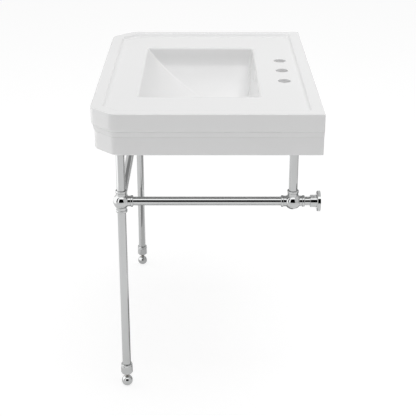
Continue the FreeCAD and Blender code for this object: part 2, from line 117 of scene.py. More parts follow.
def srgb(code):
    """Turns an sRGB hex code into linear red, green, blue and alpha."""
    parts = [int(code[i:i + 2], 16) / 255 for i in (1, 3, 5)]
    return [c / 12.92 if c <= 0.04045 else ((c + 0.055) / 1.055) ** 2.4 for c in parts] + [1.0]


def colour(name, code, words):
    """A surface colour in a property group, given as an sRGB hex code."""
    return bpy.props.FloatVectorProperty(
        name=name, description=words, default=srgb(code), size=4, subtype="COLOR", min=0, max=1
    )


def power(name, value, words):
    """Strength of a light in a property group."""
    return bpy.props.FloatProperty(name=name, description=words, default=value)


class BasinSizes(bpy.types.PropertyGroup):
    """Sizes of the china basin."""

    width: length("Width", 832, "Side to side, over the rim")
    depth: length("Depth", 591, "Front of the rim to the wall")
    rim_top: length("Rim top", 60, "Height of the rim over the wall anchors")
    clip: length("Corner clip", 58, "Length cut off each side of a front corner")
    clip_round: length("Corner rounding", 42, "Plan radius where the clip meets a side")
    back_round: length("Back corner rounding", 3, "Plan radius of the two back corners")
    recess_round: length("Deck corner rounding", 12, "Plan radius of the deck's corners")
    rim_width: length("Rim width", 31, "Outer face to the start of the rim's inner slope")
    rim_slope: length("Rim slope", 5, "How far the rim's inner side leans out on its way down")
    rim_edge: length("Rim edge", 3, "Rounding of both upper edges of the rim")
    cove: length("Cove", 9, "Hollow between the rim's inner side and the deck")
    deck_drop: length("Deck drop", 8, "Rim top down to the deck")
    deck_wall: length("Deck thickness", 14, "Deck down to its underside")
    apron: length("Apron height", 112.5, "Rim top to the lower edge")
    back_wall: length("Back wall", 14, "Thickness of the wall-side wall")
    bowl_half: length("Bowl half width", 244, "Centre line to the side wall at the deck")
    bowl_front: length("Bowl front", 114.5, "Front of the rim to the top of the ramp")
    bowl_back: length("Bowl back", 155, "Wall to the top of the bowl's back wall")
    bowl_lip: length("Bowl lip", 8, "Rounding from the deck into the bowl")
    bowl_shell: length("Bowl shell", 12, "Thickness of the bowl's walls")
    sweep_run: length("Side sweep run", 140, "Half axis of the side wall's ellipse along X")
    sweep_drop: length("Side sweep drop", 118, "Half axis of the side wall's ellipse along Z")
    ramp_radius: length("Ramp radius", 311, "Radius of the front ramp's arc")
    drain_y: length("Drain", 232, "Wall to the drain's axis")
    drain_radius: length("Drain radius", 22.25, "Radius of the drain outlet")
    faucet_y: length("Faucet holes", 80, "Wall to the row of faucet holes")
    faucet_radius: length("Faucet hole radius", 17.5, "Radius of a faucet hole")
    faucet_step: length("Faucet hole step", 101.6, "From one faucet hole to the next")


class FrameSizes(bpy.types.PropertyGroup):
    """Sizes of the chrome frame that its nodes' boxes don't give."""

    ball: length("Ball radius", 22, "Radius of a ball fitting")
    reach: length("Collar reach", 31, "Middle of a ball to the end of a collar")
    neck: length("Neck radius", 14.0, "Radius of a collar's neck")
    bead: length("Bead radius", 15.3, "Radius of a collar's bead")
    bead_long: length("Bead length", 7.5, "Length of a collar's bead")
    foot: length("Foot radius", 15.25, "Radius of a ball foot")
    stud: length("Stud radius", 6, "Radius of a foot's stud")


class Finishes(bpy.types.PropertyGroup):
    """Colours of the finishes."""

    china: colour("China glaze", "#F4F4F4", "White glaze over the fired body")
    chrome: colour("Chrome", "#C5C6C6", "Reflection of chromium plate")
    steel: colour("Stainless steel", "#B9B7B2", "Screws and studs")
    nylon: colour("Nylon", "#1C1C1D", "Plugs in the tube ends")
    rubber: colour("Rubber", "#242424", "Pads under the basin")
    floor: colour("Floor", "#F6F6F6", "Studio floor as light and reflections meet it")
    floor_seen: colour("Floor seen", "#969696", "Part of the floor's shading that the camera sees")


class StudioSettings(bpy.types.PropertyGroup):
    """Strength of the studio's light."""

    sky: power("Sky", 0.61, "Light from all round")
    overhead: power("Overhead", 36.0, "Watts of the top light")
    front: power("Front", 8.8, "Watts of the front light")
    high: power("High", 5.0, "Watts of the high front light")
    side: power("Side", 3.7, "Watts of the side light")


# ---- Surfaces

def arc(centre, radius, start, end, steps):
    """Points (steps + 1, 2) of a circle: centre + radius * (cos a, sin a), a in degrees."""
    a = np.radians(np.linspace(start, end, steps + 1))
    return np.array(centre) + radius * np.stack((np.cos(a), np.sin(a)), 1)


def rounded_loops(corners, radii, arc_steps, edge_steps):
    """Closed plan curves (rings, points, 2) through convex corners given counter-clockwise.

    Each corner is an arc of its radius tangent to both sides; each side between two arcs is
    divided evenly, so that every ring has its points in the same places.
    """
    back = np.roll(corners, 1, 1) - corners
    ahead = np.roll(corners, -1, 1) - corners
    back /= np.linalg.norm(back, axis=2, keepdims=True)
    ahead /= np.linalg.norm(ahead, axis=2, keepdims=True)
    turn = math.pi - np.arccos(np.clip((back * ahead).sum(2), -1, 1))
    radii = np.broadcast_to(radii, turn.shape)
    start = corners + back * (radii * np.tan(turn / 2))[..., None]
    spoke = np.stack((-back[..., 1], back[..., 0]), 2) * radii[..., None]
    centre = start - spoke
    a = turn[..., None] * np.linspace(0, 1, arc_steps + 1)
    turned = np.stack((
        spoke[..., None, 0] * np.cos(a) - spoke[..., None, 1] * np.sin(a),
        spoke[..., None, 0] * np.sin(a) + spoke[..., None, 1] * np.cos(a),
    ), -1)
    arcs = centre[:, :, None] + turned
    t = (np.arange(1, edge_steps) / edge_steps)[:, None] if edge_steps > 1 else np.zeros((0, 1))
    last, following = arcs[:, :, -1:], np.roll(arcs[:, :, :1], -1, 1)
    sides = last + (following - last) * t
    whole = np.concatenate((arcs, sides), 2)
    return whole.reshape(whole.shape[0], -1, 2)


def loft(rings, skip=None):
    """Quads between rings (rings, points, 3) of a closed curve; skip is a mask of quads left out."""
    count, points = rings.shape[:2]
    i = np.arange(count - 1)[:, None] * points
    j = np.arange(points)[None]
    k = (j + 1) % points
    quads = np.stack((i + j, i + k, i + points + k, i + points + j), -1)
    if skip is not None:
        quads = quads[~skip]
    return rings.reshape(-1, 3), quads.reshape(-1, 4)


def lifted(loops, z):
    """Puts plan curves (rings, points, 2) at heights z (rings) or (rings, points)."""
    z = np.asarray(z, float)
    z = np.broadcast_to(z[:, None] if z.ndim == 1 else z, loops.shape[:2])
    return np.concatenate((loops, z[..., None]), 2)


def filled(loops, place):
    """Flat region inside the first plan curve and outside the others, put in space by place()."""
    points = np.concatenate(loops)
    ends = np.cumsum([len(loop) for loop in loops])
    rims = [list(range(end - len(loop), end)) for end, loop in zip(ends, loops)]
    found, _, faces, *_ = delaunay_2d_cdt([tuple(p) for p in points], [], rims, 2, 1e-9)
    return place(np.array([tuple(p) for p in found])), np.array(faces)


def circle(centre, radius, steps=64):
    """Plan circle (steps, 2)."""
    return arc(centre, radius, 0, 360, steps)[:-1]


def lathe(profile, origin, axis, steps=72):
    """Turned surface: each (radius, height) of the profile goes round the axis through origin."""
    along = AXES[axis]
    across = AXES["x"] if axis != "x" else AXES["y"]
    other = np.cross(along, across)
    a = np.linspace(0, 2 * math.pi, steps, endpoint=False)
    spokes = np.cos(a)[:, None] * across + np.sin(a)[:, None] * other
    profile = np.asarray(profile, float)
    rings = profile[:, None, :1] * spokes + profile[:, None, 1:] * along + np.asarray(origin)
    return loft(rings)


def linked(name, data):
    """New object of the scene with the given mesh, lamp or camera."""
    made = bpy.data.objects.new(name, data)
    bpy.context.scene.collection.objects.link(made)
    return made


def piece(name, surfaces, material, nodes):
    """One smooth closed mesh of the surfaces, riding where the nodes that it stands for ride.

    Corner normals are means of the faces around them weighted by area, so that flats stay flat up
    to their rounded edges, and edges over SHARP_ANGLE stay sharp.
    """
    vertices, faces, offset = [], [], 0
    for points, polygons in surfaces:
        vertices.append(points)
        faces += (polygons + offset).tolist()
        offset += len(points)
    mesh = bpy.data.meshes.new(name)
    mesh.from_pydata(np.concatenate(vertices).tolist(), [], faces)
    shape = bmesh.new()
    shape.from_mesh(mesh)
    bmesh.ops.remove_doubles(shape, verts=shape.verts, dist=WELD)
    bmesh.ops.dissolve_degenerate(shape, edges=shape.edges, dist=SLIVER)
    loose = [v for v in shape.verts if not v.link_faces]
    bmesh.ops.delete(shape, geom=loose, context="VERTS")
    bmesh.ops.recalc_face_normals(shape, faces=shape.faces)
    shape.to_mesh(mesh)
    shape.free()
    mesh.shade_smooth()
    mesh.set_sharp_from_angle(angle=SHARP_ANGLE)
    mesh.materials.append(material)
    made = linked(name, mesh)
    normals = made.modifiers.new("flat faces stay flat", "WEIGHTED_NORMAL")
    normals.mode = "FACE_AREA"
    normals.keep_sharp = True
    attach(made, frame["nodes"][nodes[0]]["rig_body"])
    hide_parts(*nodes)
    return made


def chrome_piece(node, surfaces, chrome):
    """Piece of polished chrome that stands for one node."""
    return piece("chrome_" + node, surfaces, chrome, [node])


# ---- Materials

def add_node(tree, kind, settings=None, links=None):
    """Adds one node; settings are inputs or properties, links give {input: output socket}."""
    node = tree.nodes.new(kind)
    for key, value in (settings or {}).items():
        if isinstance(key, str) and hasattr(node, key) and key not in node.inputs:
            setattr(node, key, value)
        else:
            node.inputs[key].default_value = value
    for key, socket in (links or {}).items():
        tree.links.new(socket, node.inputs[key])
    return node


def blank_tree(owner):
    """Node tree of a new material or world, with nothing in it."""
    owner.use_nodes = True
    owner.node_tree.nodes.clear()
    return owner.node_tree


def new_material(name, settings):
    """Material with a Principled shader; returns it with its tree, shader and object coordinates."""
    material = bpy.data.materials.new(name)
    tree = blank_tree(material)
    shader = add_node(tree, "ShaderNodeBsdfPrincipled", settings)
    add_node(tree, "ShaderNodeOutputMaterial", links={"Surface": shader.outputs[0]})
    place = add_node(tree, "ShaderNodeTexCoord").outputs["Object"]
    return material, tree, shader, place


def pattern(tree, shader, place, width, detail, relief=None, tone=None):
    """Noise about width millimetres across, for a shader's relief (strength, depth in millimetres)
    and its tone (base colour, darkest part of it); returns the noise's value."""
    value = add_node(tree, "ShaderNodeTexNoise", {
        "Scale": 1 / (width * MM), "Detail": detail}, {"Vector": place}).outputs[0]
    if relief:
        bump = add_node(tree, "ShaderNodeBump", {
            "Strength": relief[0], "Distance": relief[1] * MM}, {"Height": value})
        tree.links.new(bump.outputs[0], shader.inputs["Normal"])
    if tone:
        base, darkest = tone
        mix = add_node(tree, "ShaderNodeMix", {"data_type": "RGBA"}, {"Factor": value})
        mix.inputs[MIX_A].default_value = [c * darkest for c in base[:3]] + [1.0]
        mix.inputs[MIX_B].default_value = base
        tree.links.new(mix.outputs[MIX_RESULT], shader.inputs["Base Color"])
    return value


def vitreous_china(finishes):
    """Slip-cast vitreous china, glazed white and fired: a deep even gloss that sets a broad soft
    sheen on the flats, with the faint slow waviness of glaze that has flowed."""
    material, *parts = new_material("glazed vitreous china", {"Roughness": 0.12, "IOR": 1.52})
    # Glaze waviness about 14 mm across and a few thousandths of a millimetre deep.
    pattern(*parts, 14, 2.0, relief=(0.05, 0.05))
    # Glaze thickness varies over hands' breadths, which shifts the white very slightly.
    pattern(*parts, 120, 1.0, tone=(finishes.china, 0.985))
    return material


def polished_chrome(finishes, name, waviness):
    """Bright chromium plate over polished brass: a mirror, with a trace of buffing haze, and on
    cast pieces a slight waviness left by hand polishing."""
    material, tree, shader, place = new_material(name, {"Metallic": 1.0})
    shader.inputs["Base Color"].default_value = finishes.chrome
    # Buffing haze in patches about 25 mm across, and polishing waves about 9 mm across.
    haze = pattern(tree, shader, place, 25, 3.0)
    rough = add_node(tree, "ShaderNodeMapRange", {"To Min": 0.012, "To Max": 0.035}, {"Value": haze})
    tree.links.new(rough.outputs[0], shader.inputs["Roughness"])
    pattern(tree, shader, place, 9, 1.0, relief=(waviness, 0.05))
    return material


def plain_finish(name, base, settings, grain, depth):
    """A dull material with a fine grain: noise of the given size in millimetres sets its tone and
    a shallow relief of the given depth."""
    material, *parts = new_material(name, settings)
    pattern(*parts, grain, 4.0, relief=(0.4, depth), tone=(base, 0.85))
    return material


# ---- Basin
# Lengths in millimetres. A depth is taken from the deck down.

ARC_STEPS = 8  # segments of a plan corner
BAND_TURN = (4.0, 9.7)  # half axes, inwards and down, of the upper band's lower rounding
BAND_TURN_TOP = 38.5  # rim top down to its start
GROOVE = 0.8  # radius of the half-round groove under a band
UPPER_GROOVE = (4.4, 49.0)  # a groove's inset, and rim top down to its middle
LOWER_GROOVE = (8.3, 63.8)
MIDDLE_EDGE = 0.6  # rounding of the middle band's lower edge
MIDDLE_EDGE_AT = (7.05, 62.4)
APRON_FLAT = 30.0  # lower edge up to a row on the lower band's flat
APRON_EDGE = 4.5  # rounding of the lower edge
SIDE_WALL = 14.0
INNER_EDGE = 1.5  # rounding of the wall's inner lower edge
POCKET_COVE = 6.0  # hollow between the wall and the deck's underside
DECK_MARGIN = 2.0  # strip of the deck that belongs to the rim's section
RIM_PART = 0.8  # past this part of the rim's width a row has the deck's corners
ANCHORS = (-180 * MM, 180 * MM)  # X of each bolt hole, in metres
ANCHOR_BORE = 7.0
ANCHOR_PAD = 20.0  # radius of the pad round a bolt hole
ANCHOR_PAD_TALL = 8.0
EASE = 1.0  # eased edge of a pad, a boss or the overflow
LEG_BOSS = 26.0  # radius
LEG_BOSS_ROOM = 53.0  # rim top down to the face that a leg carries
LEG_BOSS_TOP = 14.0  # rim top down to where a boss ends inside the deck
PAD_RECESS = (13.4, 2.0)  # radius and depth of the seat for a rubber pad
FAUCET_EDGE = 1.5  # rounding of a faucet hole's edge

SIDE_LAND = 4.0  # upright part of the side wall, over its sweep
RAMP_START = math.radians(55.8)  # slope of the front ramp at the deck
BACK_DRAFT = math.radians(5.5)  # lean of the bowl's back wall
HEEL_DEPTH = 101.5  # depth at which the back wall turns into the bottom
HEEL_ROUND = 25.0  # radius of that turn
BOTTOM_HALF = 118.5  # centre line to where the side sweep meets the bottom
BOTTOM_DEPTH = 126.55  # depth of the bottom on the centre line
BOTTOM_RISE = 5.17  # how far the bottom rises from there to the side sweep
BLEND = 2.0  # reach of the rounding between two fields of the bottom
FRONT_CREASE = (4.0, 12.0)  # plan radii of the bowl's corners, at the deck and at the bottom
BACK_CREASE = (7.0, 13.0)
SIDE_STEPS = 28  # segments of a side of the bowl
SWEEP_ANGLES = (2.6, 75.0)  # first and last level of the side sweep, in degrees of its ellipse
SHELL_END = 74.0  # the same for the last level of the shell
SEAT = 32.0  # radius of the drain's seat
SEAT_DEPTH = 2.5  # bottom down to the seat
DRAIN_BOSS = 41.0  # radius
DRAIN_BOSS_TALL = 18.0  # shell down to its lower face
OVERFLOW = 6.0  # radius
OVERFLOW_DEPTH = 29.0
OVERFLOW_PANEL = (12.0, 60.0)  # depths between which the wall is filled round the hole
PASSAGE = 22.0  # length of the passage behind the overflow
DUCT_HALF = 25.0  # half width of the overflow duct
DUCT_UPRIGHT = (-154.6, -121.9)  # front and back of the duct behind the bowl
DUCT_FOOT = (-203.0, -140.0)  # the same of its foot, which ends in the drain's boss
DUCT_FOOT_TOP = -78.0  # height of its top, over the wall anchors
DUCT_SUNK = 6.0  # how far the duct runs into the deck
DUCT_EDGE = 2.0
DUCT_CORNER = 4.0  # plan radius of the duct's corners


def band_profile(s):
    """Section of rim and apron as rows (inset, height, back inset), from the deck's edge over the
    rim, down the three bands, under the lower edge and up the pocket wall to the deck's underside."""
    top, deck = s.rim_top / MM, (s.rim_top - s.deck_drop) / MM
    low, under = (s.rim_top - s.apron) / MM, (s.rim_top - s.deck_drop - s.deck_wall) / MM
    rim, cove, edge = s.rim_width / MM, s.cove / MM, s.rim_edge / MM
    lean = math.atan2(s.rim_slope, s.deck_drop)
    spread = math.tan((RIGHT_ANGLE - lean) / 2)
    foot = rim + s.rim_slope / MM + cove * spread
    tilt = math.degrees(lean)
    rows = [
        [(foot + DECK_MARGIN, deck)],
        arc((foot, deck + cove), cove, -90, tilt - 180, 8),
        arc((rim - edge * spread, top - edge), edge, tilt, 90, 6),
        arc((edge, top - edge), edge, 90, 180, 8),
    ]
    rim_rows = sum(len(row) for row in rows)
    turn = np.radians(np.linspace(0, 90, 10))
    inward, down = BAND_TURN
    rows.append(np.stack((inward * (1 - np.cos(turn)), top - BAND_TURN_TOP - down * np.sin(turn)), 1))
    outer = LOWER_GROOVE[0]
    inner = outer + SIDE_WALL
    rows += [
        arc((UPPER_GROOVE[0], top - UPPER_GROOVE[1]), GROOVE, 90, -90, 8),
        arc((MIDDLE_EDGE_AT[0], top - MIDDLE_EDGE_AT[1]), MIDDLE_EDGE, 180, 270, 4),
        arc((outer, top - LOWER_GROOVE[1]), GROOVE, 90, -90, 8),
        [(outer, low + APRON_FLAT)],
        arc((outer + APRON_EDGE, low + APRON_EDGE), APRON_EDGE, 180, 270, 8),
        arc((inner - INNER_EDGE, low + INNER_EDGE), INNER_EDGE, -90, 0, 4),
        arc((inner + POCKET_COVE, under - POCKET_COVE), POCKET_COVE, 180, 90, 6),
    ]
    section = np.concatenate([np.asarray(r, float) for r in rows])
    inset = section[:, 0]
    # The back wall is flat: its outside stands at 0 and its inside at its thickness.
    back = inset.copy()
    lower = np.arange(len(section)) >= rim_rows
    back[lower] = 0
    turned = outer + APRON_EDGE
    inside = lower & (inset > turned + NEAR / MM)
    wall, grown = s.back_wall / MM, (inset[inside] - turned) / (inner - turned)
    back[inside] = np.where(grown <= 1, wall * grown, wall + inset[inside] - inner)
    return inset * MM, section[:, 1] * MM, back * MM


def basin_rings(s, inset, back):
    """Plan curves of the basin drawn in by the insets: a rectangle with clipped front corners."""
    half, front = s.width / 2 - inset, -s.depth + inset
    clip = s.clip - inset * (2 - math.sqrt(2))
    x = np.stack((half, half, -half, -half, clip - half, half - clip), 1)
    y = np.stack((front + clip, -back, -back, front + clip, front, front), 1)
    clips = np.maximum(s.clip_round - inset, s.recess_round)
    backs = np.where(back > RIM_PART * s.rim_width, s.recess_round, s.back_round)
    radii = np.stack((clips, backs, backs, clips, clips, clips), 1)
    return rounded_loops(np.stack((x, y), 2), radii, ARC_STEPS, 1)


def side_half(s, depth, grow):
    """Half width of the bowl at a depth: lip arc, then the ellipse
    x = centre + run * sqrt(1 - (z / drop)^2)."""
    run, drop = s.sweep_run + grow, s.sweep_drop + grow
    z = np.clip((depth - SIDE_LAND * MM) / drop, 0, 1)
    half = s.bowl_half - s.sweep_run + run * np.sqrt(1 - z * z)
    return half + lip_run(s, depth, RIGHT_ANGLE, grow)


def lip_run(s, depth, slope, grow):
    """How far the rounded lip stands out from a wall of the given slope, at a depth."""
    if grow:
        return np.zeros_like(depth)
    a = np.arccos(np.clip(1 - depth / s.bowl_lip, -1, 1))
    edge = s.bowl_lip * math.tan(slope / 2) - s.bowl_lip * np.sin(a)
    wall = -depth / math.tan(slope)
    return np.where(a < slope, edge - wall, 0.0)


def ramp_centre(s):
    """Y of the middle of the front ramp's arc, which starts at the deck with its steepest slope."""
    return -s.depth + s.bowl_front + s.ramp_radius * math.sin(RAMP_START)


def ramp_front(s, depth, grow):
    """Front edge of the bowl at a depth: an arc that starts at RAMP_START and flattens."""
    radius = s.ramp_radius + grow
    c = np.clip((depth + s.ramp_radius * math.cos(RAMP_START)) / radius, 0, 1)
    return ramp_centre(s) - radius * np.sqrt(1 - c * c) - lip_run(s, depth, RAMP_START, grow)


def leaning_back(s, depth, grow):
    """Back edge of the bowl at a depth: a wall leaning by BACK_DRAFT, rounded into the bottom."""
    heel = HEEL_ROUND * MM + grow
    low = np.clip(depth - HEEL_DEPTH * MM, 0, heel * 0.999)
    rounding = heel - np.sqrt(heel * heel - low * low)
    wall = -s.bowl_back + grow / math.cos(BACK_DRAFT) - depth * math.tan(BACK_DRAFT)
    return wall - rounding + lip_run(s, depth, RIGHT_ANGLE - BACK_DRAFT, grow)


def bowl_depth(s, x, y, grow):
    """Depth of the bowl's bottom under a point: the least of side sweep, ramp and back wall,
    each blended into the next."""
    run, drop = s.sweep_run + grow, s.sweep_drop + grow
    u = np.clip((np.abs(x) - (s.bowl_half - s.sweep_run)) / run, 0, 1)
    sweep = SIDE_LAND * MM + drop * np.sqrt(1 - u * u)
    half = BOTTOM_HALF * MM
    arch = BOTTOM_DEPTH * MM + grow - BOTTOM_RISE * MM * (x / half) ** 2
    side = np.where(np.abs(x) > half, sweep, arch)
    radius = s.ramp_radius + grow
    v = np.clip((y - ramp_centre(s)) / radius, -1, 0)
    ramp = radius * np.sqrt(1 - v * v) - s.ramp_radius * math.cos(RAMP_START)
    heel = HEEL_ROUND * MM + grow
    start = -s.bowl_back + grow - HEEL_DEPTH * MM * math.tan(BACK_DRAFT) - heel
    w = np.clip((y - start) / heel, 0, 1)
    back = HEEL_DEPTH * MM + heel * np.sqrt(1 - w * w)
    return soft_least(soft_least(side, ramp, BLEND * MM), back, BLEND * MM)


def soft_least(a, b, reach):
    """Lesser of two fields, rounded where they differ by less than reach: linear blend less a
    parabola of height reach / 4."""
    h = np.clip(0.5 + 0.5 * (b - a) / reach, 0, 1)
    return b + (a - b) * h - reach * h * (1 - h)


def bowl_rings(s, depth, grow):
    """Level curves of the bowl: rounded rectangles between its four walls."""
    half = side_half(s, depth, grow)
    front, back = ramp_front(s, depth, grow), leaning_back(s, depth, grow)
    x = np.stack((-half, half, half, -half), 1)
    y = np.stack((front, front, back, back), 1)
    lip = s.bowl_lip - s.bowl_lip * np.sin(np.arccos(np.clip(1 - depth / s.bowl_lip, 0, 1)))
    lip = lip if not grow else np.full_like(depth, grow)
    fronts, backs = (
        np.interp(depth, (0, s.sweep_drop), crease) * MM + lip for crease in (FRONT_CREASE, BACK_CREASE)
    )
    radii = np.stack((fronts, fronts, backs, backs), 1)
    return rounded_loops(np.stack((x, y), 2), radii, ARC_STEPS, SIDE_STEPS)


def bowl_bottom(s, outline, outline_depth, mouth, grow, steps):
    """Rings from the bowl's last level curve in to a circle round the drain.

    A ring is outline + t * (circle - outline); its depth is bowl_depth, corrected at the outline
    to the level curve and eased into the depth of the mouth (radius, depth) at the circle.
    """
    centre = drain_place(s)
    spoke = outline - centre
    circle_points = centre + spoke / np.linalg.norm(spoke, axis=1, keepdims=True) * mouth[0] * MM
    t = np.linspace(0, 1, steps + 1)[:, None, None]
    plan = outline + (circle_points - outline) * t
    depth = bowl_depth(s, plan[..., 0], plan[..., 1], grow)
    t = t[..., 0]
    depth = depth + (outline_depth - depth[0]) * (1 - t) ** 3
    depth = depth + (mouth[1] * MM - depth) * t ** 6
    return plan, depth


def drain_place(s):
    """Plan place of the drain's axis."""
    return np.array((0.0, -s.drain_y))


def drain_rows(s):
    """Two profiles (radius, depth): the drain's seat and bore, and the boss round them."""
    bore, seat = s.drain_radius / MM, BOTTOM_DEPTH + SEAT_DEPTH
    shell = BOTTOM_DEPTH + s.bowl_shell / MM
    end = shell + DRAIN_BOSS_TALL
    inside = [
        (SEAT + 1.5, BOTTOM_DEPTH + 0.35), (SEAT + 0.4, BOTTOM_DEPTH + 0.75),
        (SEAT, BOTTOM_DEPTH + 1.65), (SEAT, seat), (bore + 1.15, seat), (bore + 0.25, seat + 0.35),
        (bore, seat + 1.15), (bore, end - 1.05), (bore + 0.95, end),
    ]
    outside = [
        (DRAIN_BOSS + 3, shell + 0.05), (DRAIN_BOSS + 1, shell + 0.65), (DRAIN_BOSS, shell + 2.45),
        (DRAIN_BOSS, end - 2.05), (DRAIN_BOSS - 2, end),
    ]
    return np.array(inside), np.array(outside)


def drain_loft(s, deck, ring, rows):
    """Turned surface of (radius, depth) rows whose points lie at the same angles as a ring's."""
    centre = drain_place(s)
    spoke = ring - centre
    spoke = spoke / np.linalg.norm(spoke, axis=1, keepdims=True)
    plan = centre + spoke[None] * rows[:, 0, None, None] * MM
    return plan[-1], loft(lifted(plan, deck - rows[:, 1] * MM))


def flat_face(outline, holes, axis, level):
    """Face across axis 1 (Y) or 2 (Z) at a level, inside a flat outline and outside its holes."""
    return filled([outline] + holes, lambda p: np.insert(p, axis, level, 1))


def anchor_surface(s, x):
    """Bolt hole through the back wall, with its raised pad inside."""
    wall = -s.back_wall / MM
    face = wall - ANCHOR_PAD_TALL
    profile = np.array([
        (ANCHOR_PAD, wall), (ANCHOR_PAD, face + EASE), (ANCHOR_PAD - EASE, face),
        (ANCHOR_BORE + EASE, face), (ANCHOR_BORE, face + EASE), (ANCHOR_BORE, 0),
    ])
    return lathe(profile * MM, (x, 0, 0), "y", 48)


def shell_surfaces(s, rings, back):
    """Rim, bands and pocket wall, the back wall's two faces and its bolt holes."""
    first, last = 2 * (ARC_STEPS + 1) - 1, 2 * (ARC_STEPS + 1)
    skip = np.zeros((len(rings) - 1, rings.shape[1]), bool)
    faces = []
    for y, hole in ((0.0, ANCHOR_BORE), (s.back_wall, ANCHOR_PAD)):
        rows = np.flatnonzero(np.abs(back - y) < NEAR)
        skip[rows[0]:rows[-1], first] = True
        rows = np.arange(rows[0], rows[-1] + 1)
        right, left = rings[rows, first][:, [0, 2]], rings[rows, last][:, [0, 2]]
        holes = [circle((x, 0.0), hole * MM, 48) for x in ANCHORS]
        faces.append(flat_face(np.concatenate((right, left[::-1])), holes, 1, -y))
    return [loft(rings, skip)] + faces + [anchor_surface(s, x) for x in ANCHORS]


def basin_surfaces(s):
    """All surfaces of the china: bands, deck, bowl, underside, holes, bosses and overflow duct."""
    deck = s.rim_top - s.deck_drop
    under = deck - s.deck_wall
    inset, height, back = band_profile(s)
    bands = basin_rings(s, inset, back)
    surfaces = shell_surfaces(s, lifted(bands, height), back)

    lip = s.bowl_lip * (1 - np.cos(np.radians(np.linspace(0, 90, 10))))
    sweep = SIDE_LAND * MM + s.sweep_drop * np.sin(np.radians(np.linspace(*SWEEP_ANGLES, 40)))
    depth = np.concatenate((lip, sweep[1:]))
    plan = bowl_rings(s, depth, 0.0)
    drain_inside, drain_outside = drain_rows(s)
    floor_plan, floor_depth = bowl_bottom(s, plan[-1], depth[-1], drain_inside[0], 0.0, 26)
    bowl = np.concatenate((lifted(plan, deck - depth), lifted(floor_plan[1:], deck - floor_depth[1:])))
    hole_skip, hole_surfaces = overflow_hole(s, plan, depth, deck)
    skip = np.zeros((len(bowl) - 1, bowl.shape[1]), bool)
    skip[:len(hole_skip)] = hole_skip
    surfaces += [loft(bowl, skip)] + hole_surfaces

    drop = s.sweep_drop + s.bowl_shell
    start = math.degrees(math.asin((s.deck_wall - SIDE_LAND * MM) / drop))
    outer_depth = SIDE_LAND * MM + drop * np.sin(np.radians(np.linspace(start, SHELL_END, 24)))
    outer_plan = bowl_rings(s, outer_depth, s.bowl_shell)
    base_plan, base_depth = bowl_bottom(
        s, outer_plan[-1], outer_depth[-1], drain_outside[0], s.bowl_shell, 16
    )
    surfaces.append(loft(np.concatenate((
        lifted(outer_plan, deck - outer_depth), lifted(base_plan[1:], deck - base_depth[1:]),
    ))))
    bore, bore_surface = drain_loft(s, deck, floor_plan[-1], drain_inside)
    boss, boss_surface = drain_loft(s, deck, base_plan[-1], drain_outside)
    low = deck - drain_outside[-1, 1] * MM
    surfaces += [bore_surface, boss_surface, flat_face(boss, [bore], 2, low)]

    faucets = [(k * s.faucet_step, -s.faucet_y) for k in (-1, 0, 1)]
    round_edge = FAUCET_EDGE * MM
    edge = arc((s.faucet_radius + round_edge, -round_edge), round_edge, 90, 180, 5)
    wall_rows = np.concatenate((edge, [(s.faucet_radius, under - deck)]))
    surfaces += [lathe(wall_rows, (x, y, deck), "z", 64) for x, y in faucets]
    deck_holes = [circle(p, s.faucet_radius + round_edge) for p in faucets]
    under_holes = [circle(p, s.faucet_radius) for p in faucets]
    surfaces.append(flat_face(bands[0], [plan[0]] + deck_holes, 2, deck))
    surfaces.append(flat_face(bands[-1], [outer_plan[0]] + under_holes, 2, under))

    surfaces += [leg_boss_surface(s, x, y) for x, y in leg_places()]
    return surfaces + duct_surfaces(low, under)


def leg_boss_surface(s, x, y):
    """Round boss under the deck over an upright, with a seat for the upright's rubber pad."""
    face, top = s.rim_top / MM - LEG_BOSS_ROOM, s.rim_top / MM - LEG_BOSS_TOP
    seat, deep = PAD_RECESS
    profile = np.array([
        (0, face + deep), (seat, face + deep), (seat, face + 0.6), (seat + 0.6, face),
        (LEG_BOSS - EASE, face), (LEG_BOSS, face + EASE), (LEG_BOSS, top), (0, top),
    ])
    return lathe(profile * MM, (x, y, 0), "z", 48)


def overflow_hole(s, plan, depth, deck):
    """Round hole in the bowl's back wall with a short blind passage behind it: quads left out of
    the wall, the flat region round the hole and the passage."""
    corner = ARC_STEPS + 1
    block = corner + SIDE_STEPS - 1
    columns = np.arange(2 * block + corner - 1, 3 * block)
    low, high = OVERFLOW_PANEL
    rows = np.flatnonzero((depth > low * MM) & (depth < high * MM))
    skip = np.zeros((len(depth) - 1, plan.shape[1]), bool)
    skip[rows[0]:rows[-1], columns] = True

    def place(p):
        """Puts points (x, depth) on the leaning wall."""
        return np.stack((p[:, 0], -s.bowl_back - p[:, 1] * math.tan(BACK_DRAFT), deck - p[:, 1]), 1)

    wide = np.append(columns, 3 * block)
    top, bottom = (
        np.stack((plan[row, wide, 0], np.full(len(wide), depth[row])), 1) for row in (rows[0], rows[-1])
    )
    right, left = (
        np.stack((plan[rows[1:-1], column, 0], depth[rows[1:-1]]), 1) for column in (wide[0], wide[-1])
    )
    outline = np.concatenate((top, left, bottom[::-1], right[::-1]))
    centre = (0.0, OVERFLOW_DEPTH * MM)
    hole = circle(centre, (OVERFLOW + EASE) * MM, 48)
    passage = (
        (OVERFLOW + EASE, 0), (OVERFLOW + 0.3, 0.3), (OVERFLOW, EASE), (OVERFLOW, PASSAGE),
        (NEAR / MM, PASSAGE),
    )
    rings = [
        place(circle(centre, radius * MM, 48)) + np.array((0, back * MM, 0)) for radius, back in passage
    ]
    return skip, [filled([outline, hole], place), loft(np.array(rings))]


